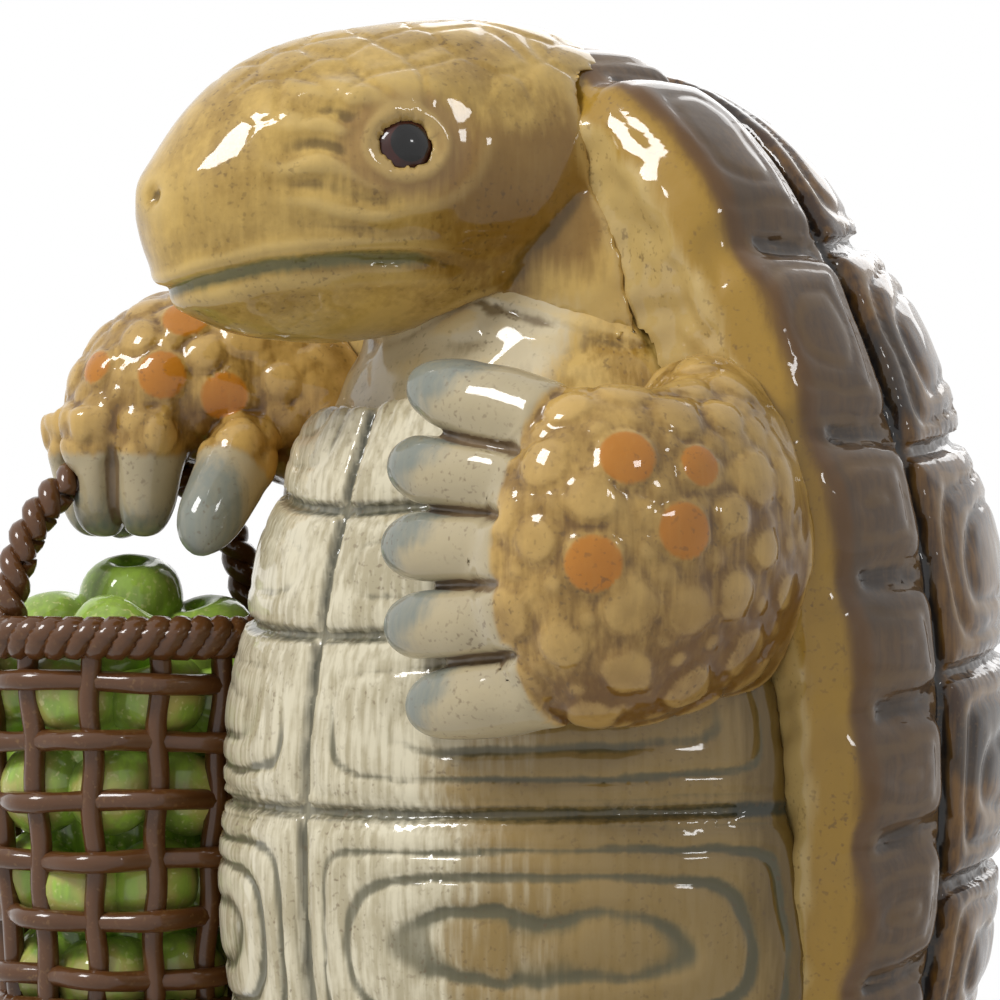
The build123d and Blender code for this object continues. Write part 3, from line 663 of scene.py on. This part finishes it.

# Limbs and tail
# Pressed limbs covered in round scales, luted on with slip, and a short scaly tail.
# Ochre under the glaze, with the largest scales dotted orange and the claws blue-grey, and
# brown below the limbs that is partly paint and partly painted shade.
BOSS_HEIGHT, SMALL_BOSS_HEIGHT = 0.34, 0.12
CLAW_RADIUS = 2.3
TOE_RADIUS = 2.4
FINGER_SWELL, FINGER_GROOVE, FINGER_GROOVE_WIDTH = 0.45, 0.55, 0.75
STRAY_DOT_SHARE = 0.04
VIEW_AZIMUTH = math.radians(50)
# each piece: mm from boss to boss, and the radius of the slip at its joint
LIMBS = {"left_forelimb": (2.9, 1.6), "right_forelimb": (2.7, 1.4), "left_hind_limb": (2.3, 1.4),
         "right_hind_limb": (2.3, 1.4), "tail": (1.8, 1.0)}
CLAW_LENGTHS = {"left_forelimb": 9.4, "right_forelimb": 7.6, "left_hind_limb": 5.6,
                "right_hind_limb": 5.6}
# each claw's root, in shares of the body as body_point takes them, and the way it points
CLAW_ROWS = {
    "left_forelimb": (
        (0.870, 0.880, 0.785, -0.86, -0.24, 0.22), (0.840, 0.915, 0.744, -0.93, -0.26, 0.11),
        (0.825, 0.925, 0.698, -0.96, -0.26, 0.02), (0.835, 0.920, 0.650, -0.95, -0.26, -0.06),
        (0.870, 0.880, 0.602, -0.90, -0.24, -0.12)),
    "right_forelimb": (
        (-1.440, 0.690, 0.800, 0.22, 0.06, -0.96), (-1.380, 0.840, 0.802, 0.12, 0.14, -0.97),
        (-1.210, 0.885, 0.802, -0.04, 0.12, -0.98), (-1.060, 0.800, 0.802, -0.16, 0.04, -0.98)),
    "left_hind_limb": (
        (0.512, 0.740, 0.078, -0.20, -1.0, -0.10), (0.629, 0.780, 0.079, -0.05, -1.0, -0.10),
        (0.748, 0.770, 0.079, 0.12, -1.0, -0.10), (0.858, 0.700, 0.078, 0.32, -1.0, -0.10)),
}
CLAW_ROWS["right_hind_limb"] = tuple((-a, f, h, -x, y, z)
                                     for a, f, h, x, y, z in CLAW_ROWS["left_hind_limb"])
# the claw at the inner side of the right paw: middle, way, half length and half width
INNER_CLAW = ((-17.0, -16.4, 62.0), (0.26, -0.64, -0.72), 6.0, 2.2)
# across and height in mm, as the figure is seen from its left front
ORANGE_SPOTS = {
    "left_forelimb": ((-0.3, 63.1), (-2.4, 57.0), (3.1, 58.8)),
    "right_forelimb": ((-26.3, 71.9), (-27.8, 68.3), (-24.0, 66.5)),
}


def bosses(points, spacing, seed, first=()):
    """Round bosses scattered over the surface, those at the points first named before others:
    each point's share of the way from its boss's edge to its middle, and the boss's number."""
    chance = np.random.RandomState(seed)
    free = np.ones(len(points), dtype=bool)
    places = []
    for index in [*first, *chance.permutation(len(points))]:
        if free[index]:
            places.append(points[index])
            free &= ((points - points[index])**2).sum(axis=1) > spacing**2
    sizes = spacing * chance.uniform(0.40, 0.58, len(places))
    sizes[:len(first)] = 0.62 * spacing
    tree = kdtree.KDTree(len(places))
    for index, place in enumerate(places):
        tree.insert(place, index)
    tree.balance()
    found = [tree.find(p) for p in points.tolist()]
    number = np.array([f[1] for f in found])
    return np.clip(1 - np.array([f[2] for f in found]) / sizes[number], 0, 1), number


def along_axis(points, root, way):
    """How far each point lies along a claw's line and away from it."""
    way = np.array(way) / np.linalg.norm(way)
    reach = (points - root) @ way
    return reach, np.linalg.norm(points - root - np.outer(reach, way), axis=1)


def body_point(across, forward, height):
    """A place given by shares of the egg's radius, twice, and of its height."""
    return np.array((across * EGG_RADIUS, EGG_Y - forward * EGG_RADIUS,
                     EGG_BOTTOM + height * EGG_HEIGHT))


# the wash on the under mark is brown painted shade below the limbs, partly paint as well
limb_glaze = glazed("limb_ochre_underglaze", "#B99550", "#87662B", (
    ("under", "#66420E", 0.0, 0.9, 0.9), ("crest", "#D0AC66", 0.15, 0.9, 0.5),
    ("joint", "#6E4C18", 0.5, 1.2, 0.5), ("dot", "#B46C00", 0.2, 1.0, 0.85),
    ("claw", "#AEA284", 0.3, 0.8, 0.9), ("nail", "#5F6F70", 0.3, 1.1, 0.75),
    ("hollow", "#553610", 0.1, 0.9, 0.75)), stroke=0.35)
for name, (spacing, fillet) in LIMBS.items():
    limb = casting(name, grain=0.25, passes=12, lumps=[INNER_CLAW] if name == "right_forelimb" else ())
    lute(limb, fillet, "body", "belly_plate", "shell", *(() if "fore" in name else ("plinth",)))
    points, outward = skin(limb)
    claw = np.zeros(len(points))
    nail = np.zeros(len(points))
    length = CLAW_LENGTHS.get(name, 0)
    rows = [(body_point(*row[:3]), row[3:]) for row in CLAW_ROWS.get(name, ())]
    if name == "right_forelimb":
        rows.append((INNER_CLAW[0] - np.array(INNER_CLAW[1]) * 0.5 * INNER_CLAW[2], INNER_CLAW[1]))
    # how far each point is from every claw's line, after two values that stand for none near
    beside = [np.full(len(points), 9.0), np.full(len(points), 10.0)]
    for root, way in rows:
        reach, aside = along_axis(points, root, way)
        starts = (0.22 * length, 0.45 * length)
        if name == "left_forelimb":  # the fist's fingers lie one over another, so only height parts them
            level = np.array((0, 0, 1.0)) - np.array(way) * way[2] / np.dot(way, way)
            aside = np.abs((points - root) @ level)
            starts = (-0.6, 0.6)
        on_toe = ramp(reach, *starts) * (1 - ramp(aside, TOE_RADIUS, TOE_RADIUS * 1.3))
        claw = np.maximum(claw, on_toe)
        nail = np.maximum(nail, on_toe * ramp(reach + 2.5 * outward[:, 2], 0.4 * length, 0.85 * length))
        beside.append(np.where(reach > -2, aside, 9.5))
    nearest, second = np.sort(beside, axis=0)[:2]
    groove = mound(second - nearest, FINGER_GROOVE_WIDTH) * claw
    finger = np.sqrt(np.clip(1 - (nearest / CLAW_RADIUS)**2, 0, 1)) * claw
    seen_across = points @ (math.cos(VIEW_AZIMUTH), math.sin(VIEW_AZIMUTH), 0)
    seen_near = points @ (math.sin(VIEW_AZIMUTH), -math.cos(VIEW_AZIMUTH), 0)
    spots = []
    for spot_across, spot_height in ORANGE_SPOTS.get(name, ()):
        off = np.hypot(seen_across - spot_across, points[:, 2] - spot_height)
        spots.append(int(np.argmax(seen_near - 1e3 * (off > off.min() + 0.3))))
    within, number = bosses(points, spacing, 7, spots)
    small = bosses(points, 0.55 * spacing, 11)[0]
    bump = (BOSS_HEIGHT * np.sqrt(1 - (1 - within)**2)
            + SMALL_BOSS_HEIGHT * np.sqrt(1 - (1 - small)**2) * (1 - ramp(within, 0.0, 0.3)))
    free = ramp(gap_to(points, neighbours("body", "belly_plate", "shell"))[0], 0.8, 3.5)
    model(limb, claw * sunk(limb, 14) + FINGER_SWELL * finger - FINGER_GROOVE * groove
          + bump * (1 - claw) * (0.15 + 0.85 * free) + 0.15 * ripple(points, 3.0))
    mark_hollows(limb, 10, 0.10)
    stray = np.random.RandomState(3).rand(number.max() + 1)[number] < STRAY_DOT_SHARE
    # painted shade: on the left forelimb the brown deepens towards its right as the figure is seen, the
    # side away from the key light
    shade = 0.5 * seen_across / 10 * (name == "left_forelimb") + 0.3 * ripple(points, 4.0)
    mark(limb, "dot", ((number < len(spots)) | stray) * ramp(within, 0.0, 0.25) * (1 - claw))
    # brown on the faces that look down: painted shade, partly paint
    mark(limb, "under", ramp(-outward[:, 2] + shade, -0.1, 0.9))
    mark(limb, "claw", claw)
    mark(limb, "nail", nail)
    fire(limb, limb_glaze, "limb_glaze", name)

# Basket
# A tapered basket of open wickerwork moulded in relief: stakes and weavers over its load of
# apples, roped at foot and rim. The strands and the arched handle are painted dark brown.
BASKET_CENTRE = body_point(-1.268, 0.717, 0.3275)
BASKET_HEIGHT, FOOT_RADIUS, RIM_RADIUS = 25.0, 7.4, 9.8
STAKES, WEAVERS = 14, 6
STRAND_RADIUS = 0.66
STAKE_INSET, WEAVER_PROUD, WEAVE_DEPTH = 0.2, 0.15, 0.5
ROPE_RISES = (1.0, BASKET_HEIGHT - 0.9)
ROPE_RADIUS, ROPE_TWISTS = 0.8, 24
HANDLE_SPAN, HANDLE_RISE, HANDLE_TWISTS = 9.1, 9.8, 9
HANDLE_CORE = 0.5


def strand(name, lines, thickness, closed=False, sides=10):
    """Round strands through points in mm, as one mesh, a little uneven in thickness."""
    verts, faces = [], []
    for line in lines:
        line = np.array(line)
        count = len(line)
        first = len(verts)
        uneven = thickness * (1 + 0.10 * ripple(line, 2.2))
        for i in range(count):
            if closed:
                way = line[(i + 1) % count] - line[i - 1]
            else:
                way = line[min(i + 1, count - 1)] - line[max(i - 1, 0)]
            way = way / np.linalg.norm(way)
            aside = np.cross(way, (0.13, 0.21, 1.0) if abs(way[2]) < 0.9 else (1.0, 0.17, 0.0))
            aside /= np.linalg.norm(aside)
            over = np.cross(way, aside)
            for k in range(sides):
                turn = 2 * math.pi * k / sides
                reach = uneven[i] * (math.cos(turn) * aside + math.sin(turn) * over)
                verts.append(tuple((line[i] + reach) * MM))
        steps = count if closed else count - 1
        for i in range(steps):
            a, b = first + i * sides, first + ((i + 1) % count) * sides
            for k in range(sides):
                m = (k + 1) % sides
                faces.append((a + k, a + m, b + m, b + k))
        if not closed:
            faces.append(tuple(first + k for k in range(sides))[::-1])
            faces.append(tuple(first + (count - 1) * sides + k for k in range(sides)))
    mesh = bpy.data.meshes.new(name)
    mesh.from_pydata(verts, [], faces)
    mesh.update()
    made = bpy.data.objects.new(name, mesh)
    bpy.context.collection.objects.link(made)
    return made


def basket_wall(turn, rise, proud=0.0):
    """A place on the basket's tapered wall."""
    radius = FOOT_RADIUS + (RIM_RADIUS - FOOT_RADIUS) * rise / BASKET_HEIGHT + proud
    return BASKET_CENTRE + (radius * math.cos(turn), radius * math.sin(turn), rise)


def joined(name, parts):
    """Several meshes as one piece."""
    with bpy.context.temp_override(active_object=parts[0], selected_editable_objects=parts):
        bpy.ops.object.join()
    parts[0].name = name
    return parts[0]


stake_turns = [2 * math.pi * k / STAKES for k in range(STAKES)]
stakes = [[basket_wall(turn + 0.015 * math.sin(rise + 3 * turn), rise, -STAKE_INSET)
           for rise in np.linspace(0.6, BASKET_HEIGHT - 0.5, 36)] for turn in stake_turns]
weavers = []
for row in range(WEAVERS):
    rise = BASKET_HEIGHT * (row + 1) / (WEAVERS + 1)
    line = []
    for turn in np.linspace(0, 2 * math.pi, 168, endpoint=False):
        over = math.cos(STAKES / 2 * turn + math.pi * row)
        line.append(basket_wall(turn, rise + 0.15 * math.sin(3 * turn + row),
                                WEAVER_PROUD + WEAVE_DEPTH * over))
    weavers.append(line)
ropes = []
for rise in ROPE_RISES:
    for start in (0, math.pi):
        ropes.append([basket_wall(turn, rise + 0.6 * math.sin(ROPE_TWISTS * turn + start),
                                  0.2 + 0.45 * math.cos(ROPE_TWISTS * turn + start))
                      for turn in np.linspace(0, 2 * math.pi, 240, endpoint=False)])
basket = joined("basket_wicker", [strand("basket_stakes", stakes, STRAND_RADIUS),
                                  strand("basket_weavers", weavers, STRAND_RADIUS, True),
                                  strand("basket_ropes", ropes, ROPE_RADIUS, True)])
basket_glaze = glazed("basket_brown_underglaze", "#2E1A0A", "#160C05", (
    ("hollow", "#0E0805", 0.1, 0.9, 0.8), ("crest", "#6A4220", 0.2, 1.0, 0.6)),
    stroke=0.2, speck="#8A6A40", speck_share=0.35)
mark_hollows(basket, 2, 0.1)
fire(basket, basket_glaze, "basket_glaze", "basket")
arches = []
for start in (0, math.pi):
    line = []
    for turn in np.linspace(0, math.pi, 181):
        twist = 2 * HANDLE_TWISTS * turn + start
        out = np.array((0, math.cos(turn), math.sin(turn)))
        line.append(BASKET_CENTRE + (HANDLE_CORE * math.sin(twist), HANDLE_SPAN * math.cos(turn),
                                     BASKET_HEIGHT + HANDLE_RISE * math.sin(turn))
                    + HANDLE_CORE * math.cos(twist) * out)
    arches.append(line)
handle = strand("basket_handle_wicker", arches, STRAND_RADIUS)
mark_hollows(handle, 2, 0.1)
fire(handle, basket_glaze, "basket_glaze", "basket_handle")

# Fruit
# Small apples pressed one by one, packed against the wickerwork and heaped over the rim, round
# a core of clay. Bright green, paler on their crests, with yellowish slip beside the strands.
APPLE_RADIUS, APPLE_SQUASH = 3.3, 0.92
DIMPLE_DEPTH, DIMPLE_WIDTH = 0.38, 0.30
APPLE_RINGS = ((3.4, 7), (9.2, 8), (15.0, 8), (20.6, 8))
HEAP_COUNT, HEAP_RADIUS, HEAP_RISE, TOP_RISE = 4, 4.7, 23.6, 26.2
CORE_INSET, CORE_FOOT, CORE_TOP = 2.3, 0.5, 23.2


def leaning(across, rise, turn):
    """Two coordinates turned in their plane."""
    return (across * math.cos(turn) - rise * math.sin(turn),
            across * math.sin(turn) + rise * math.cos(turn))


def apple(places, radius, seed):
    """Apples with a dimple at the stalk, each leaning its own way."""
    net = bmesh.new()
    chance = np.random.RandomState(seed)
    for place in places:
        lean = chance.uniform(-0.5, 0.5, 2)
        made = bmesh.ops.create_uvsphere(net, u_segments=28, v_segments=18, radius=1.0)["verts"]
        size = radius * chance.uniform(0.95, 1.05)
        for vert in made:
            x, y, z = vert.co
            dimple = DIMPLE_DEPTH * math.exp(-(math.hypot(x, y) / DIMPLE_WIDTH)**2)
            z = z * APPLE_SQUASH - (dimple if z > 0 else -dimple / 2)
            y, z = leaning(y, z, lean[0])
            x, z = leaning(x, z, lean[1])
            vert.co = [(c + size * d) * MM for c, d in zip(place, (x, y, z))]
    mesh = bpy.data.meshes.new("apples")
    net.to_mesh(mesh)
    net.free()
    made = bpy.data.objects.new("fruit_apples", mesh)
    bpy.context.collection.objects.link(made)
    return made


packed = []
for level, (rise, count) in enumerate(APPLE_RINGS):
    for k in range(count):
        turn = 2 * math.pi * (k + 0.5 * level) / count
        packed.append(basket_wall(turn, rise, 0.1 - APPLE_RADIUS))
for k in range(HEAP_COUNT):
    turn = 2 * math.pi * (k + 0.5) / HEAP_COUNT
    packed.append(BASKET_CENTRE + (HEAP_RADIUS * math.cos(turn), HEAP_RADIUS * math.sin(turn),
                                   HEAP_RISE))
packed.append(BASKET_CENTRE + (0, 0, TOP_RISE))
middle_line = [BASKET_CENTRE + (0, 0, rise) for rise in np.linspace(CORE_FOOT, CORE_TOP, 8)]
core = strand("fruit_core", [middle_line], 1.0, sides=56)
for vert in core.data.vertices:
    # the thin core is spread out to the basket's taper, a little inside the wall
    reach = basket_wall(0, vert.co.z / MM - BASKET_CENTRE[2], -CORE_INSET)[0] - BASKET_CENTRE[0]
    for axis in (0, 1):
        vert.co[axis] = (BASKET_CENTRE[axis] + (vert.co[axis] / MM - BASKET_CENTRE[axis]) * reach) * MM
fruit = joined("fruit_heap", [apple(packed, APPLE_RADIUS, 5), core])
points = skin(fruit)[0]
model(fruit, 0.12 * ripple(points, 1.6))
mark_hollows(fruit, 3, 0.15)
gaps = gap_to_seams(points, along_seams(stakes + weavers))
mark(fruit, "slip", (1 - ramp(gaps, 0.9, 1.9)) * (0.7 + 0.3 * ripple(points, 1.5)))
fruit_glaze = glazed("fruit_green_underglaze", "#86AE30", "#5A7C20", (
    ("hollow", "#4A6A1E", 0.2, 1.0, 0.7), ("crest", "#B9CE6A", 0.3, 1.2, 0.4),
    ("slip", "#B5A860", 0.25, 0.9, 0.85)), stroke=0.9, speck="#E6E0A0", speck_share=0.5)
fire(fruit, fruit_glaze, "fruit_glaze", "fruit")

# Studio
# A pale table, three soft boxes and a long level lens at the height of the figure's chest,
# round to its left front.
FRAME_PIXELS = 1000
FRAME_SCALE = 16.7  # pixels to one mm of the figure
MIDLINE_PIXEL, TOP_PIXEL, TOP_HEIGHT = 620, 25, 89
LENS, SENSOR = 200.0, 36.0
LAMP_AIM = (0, 0, 50)
ROOM_LIGHT, WHITE = 0.36, 1.0
TABLE_RADIUS, TABLE_SIDES = 280, 64
TABLE_FADE = (0.10, 0.27)
frame_middle = (FRAME_PIXELS / 2 - MIDLINE_PIXEL) / FRAME_SCALE
frame_height = TOP_HEIGHT - (FRAME_PIXELS / 2 - TOP_PIXEL) / FRAME_SCALE
distance = FRAME_PIXELS / FRAME_SCALE * LENS / SENSOR
right_way = np.array((math.cos(VIEW_AZIMUTH), math.sin(VIEW_AZIMUTH), 0))
toward = np.array((math.sin(VIEW_AZIMUTH), -math.cos(VIEW_AZIMUTH), 0))
aim = right_way * frame_middle + np.array((0, 0, frame_height))
camera = bpy.data.objects.new("camera", bpy.data.cameras.new("camera"))
bpy.context.collection.objects.link(camera)
camera.data.lens = LENS
camera.data.sensor_width = SENSOR
camera.data.clip_start = 0.01
camera.location = (aim + toward * distance) * MM
camera.rotation_euler = (math.pi / 2, 0, VIEW_AZIMUTH)
bpy.context.scene.camera = camera


def soft_box(name, turn, height, away, width, power):
    """A square lamp that looks at the figure, turned in degrees from straight before it."""
    lamp = bpy.data.lights.new(name, "AREA")
    lamp.shape = "RECTANGLE"
    lamp.size = lamp.size_y = width * MM
    lamp.energy = power
    box = bpy.data.objects.new(name, lamp)
    bpy.context.collection.objects.link(box)
    a = math.radians(turn)
    place = np.array((math.sin(a) * away, -math.cos(a) * away, height))
    box.location = place * MM
    box.rotation_mode = "QUATERNION"
    box.rotation_quaternion = Vector(LAMP_AIM - place).to_track_quat("-Z", "Y")


soft_box("key_box", turn=350, height=330, away=300, width=130, power=1.25)
soft_box("window_box", turn=84, height=230, away=300, width=46, power=0.12)
soft_box("back_box", turn=215, height=260, away=380, width=240, power=0.35)
world = bpy.data.worlds.new("white_room")
bpy.context.scene.world = world
world.use_nodes = True
room = world.node_tree
room.nodes.clear()
# the room is white to the eye, in reflections and through glass, and lights the figure less
rays = node(room, "LightPath")
seen = node(room, "Math", {0: rays.outputs["Is Camera Ray"], 1: rays.outputs["Is Transmission Ray"]},
            operation="MAXIMUM").outputs[0]
seen = node(room, "Math", {0: seen, 1: rays.outputs["Is Glossy Ray"]}, operation="MAXIMUM").outputs[0]
level = node(room, "MapRange", {0: seen, 3: ROOM_LIGHT, 4: WHITE}).outputs[0]
sky = node(room, "Background", {"Color": (1, 1, 1, 1), "Strength": level})
node(room, "OutputWorld", {"Surface": sky.outputs["Background"]})
corners = []
for k in range(TABLE_SIDES):
    turn = 2 * math.pi * k / TABLE_SIDES
    corners.append((TABLE_RADIUS * MM * math.cos(turn), TABLE_RADIUS * MM * math.sin(turn), 0))
table_mesh = bpy.data.meshes.new("table")
table_mesh.from_pydata(corners, [], [tuple(range(TABLE_SIDES))])
table = bpy.data.objects.new("table", table_mesh)
bpy.context.collection.objects.link(table)
# matt white paper that fades into the room before its edge
paper = bpy.data.materials.new("white_paper")
paper.use_nodes = True
tree = paper.node_tree
tree.nodes.clear()
place = node(tree, "TexCoord").outputs["Object"]
length = node(tree, "VectorMath", {0: place}, operation="LENGTH").outputs["Value"]
fade = node(tree, "MapRange", {0: length, 1: TABLE_FADE[0], 2: TABLE_FADE[1]}).outputs[0]
sheet = node(tree, "BsdfPrincipled", {"Base Color": (0.88, 0.88, 0.87, 1), "Roughness": 0.9})
clear = node(tree, "BsdfTransparent")
mixed = node(tree, "MixShader", {0: fade, 1: sheet.outputs["BSDF"], 2: clear.outputs["BSDF"]})
node(tree, "OutputMaterial", {"Surface": mixed.outputs["Shader"]})
table_mesh.materials.append(paper)
bpy.context.scene.view_settings.view_transform = "Standard"
